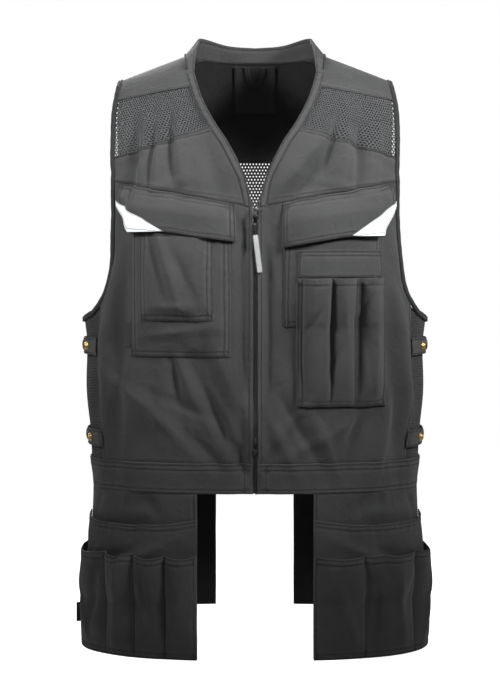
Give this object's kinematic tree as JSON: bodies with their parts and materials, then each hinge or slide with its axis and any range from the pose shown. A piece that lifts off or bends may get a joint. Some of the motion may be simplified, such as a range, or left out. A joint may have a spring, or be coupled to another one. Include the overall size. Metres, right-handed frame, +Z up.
{
  "type": "utility work vest",
  "caption": "Dark canvas work vest on an upright body form: V neck, stand collar, front zip, mesh insets, flap and tool pockets, side straps with press studs, hanging tool holsters.",
  "frame": {"origin": "midway between the two side neck points, at the height where the vest sits on the shoulders", "axes": "+Z up along the garment's height, -Y out of the front, +X to the wearer's left"},
  "size_m": [0.4711, 0.2789, 0.8046],
  "materials": {
    "canvas": "matt woven canvas",
    "black": "matt woven lining and label cloth",
    "net": "open knitted mesh",
    "tape": "ribbed binding and zip tape",
    "reflective": "silver reflective cloth",
    "brass": "satin brass",
    "dark_metal": "satin black metal"
  },
  "bodies": {
    "vest": {"armhole_binding_left": "tape", "armhole_binding_right": "tape", "back_mesh": "net", "back_panel": "canvas", "back_yoke": "black", "chest_panel_left": "canvas", "chest_panel_right": "canvas", "chest_pocket": "canvas", "collar": "canvas", "flap_reflector_left": "reflective", "flap_reflector_right": "reflective", "front_panel_left": "canvas", "front_panel_right": "canvas", "hanger_loop": "tape", "holster_back_left": "canvas", "holster_back_right": "canvas", "holster_label": "black", "holster_lower_pocket_left": "canvas", "holster_lower_pocket_right": "canvas", "holster_upper_pocket_left": "canvas", "holster_upper_pocket_right": "canvas", "neck_band_left": "canvas", "neck_band_right": "canvas", "neck_label": "black", "patch_pocket": "canvas", "phone_pocket": "canvas", "pocket_flap_left": "canvas", "pocket_flap_right": "canvas", "pocket_label": "black", "press_stud_left_1": "brass", "press_stud_left_2": "brass", "press_stud_right_1": "brass", "press_stud_right_2": "brass", "rear_holster_left": "black", "rear_holster_right": "black", "shoulder_mesh_left": "net", "shoulder_mesh_right": "net", "shoulder_yoke_left": "canvas", "shoulder_yoke_right": "canvas", "side_mesh_left": "net", "side_mesh_right": "net", "side_strap_left_1": "canvas", "side_strap_left_2": "canvas", "side_strap_right_1": "canvas", "side_strap_right_2": "canvas", "stud_cap_left_1": "dark_metal", "stud_cap_left_2": "dark_metal", "stud_cap_right_1": "dark_metal", "stud_cap_right_2": "dark_metal", "tool_pocket": "canvas", "tool_pocket_band": "canvas", "waistband_back": "canvas", "waistband_front_left": "canvas", "waistband_front_right": "canvas", "zip_chain": "tape", "zip_slider_bottom": "dark_metal", "zip_slider_top": "dark_metal"},
    "zip_pull": {"zip_pull_tab": "dark_metal", "zip_pull_strip": "reflective"},
    "lower_zip_pull": {"zip_bottom_tab": "dark_metal"}
  },
  "joints": [
    {"name": "zip_pull_swing", "type": "hinge", "parent": "vest", "child": "zip_pull", "pos_m": [0, -0.14003, -0.2146], "axis": [-1, 0, 0], "range_deg": [0, 165]},
    {"name": "lower_zip_pull_swing", "type": "hinge", "parent": "vest", "child": "lower_zip_pull", "pos_m": [0, -0.13659, -0.5006], "axis": [-1, 0, 0], "range_deg": [0, 165]}
  ]
}
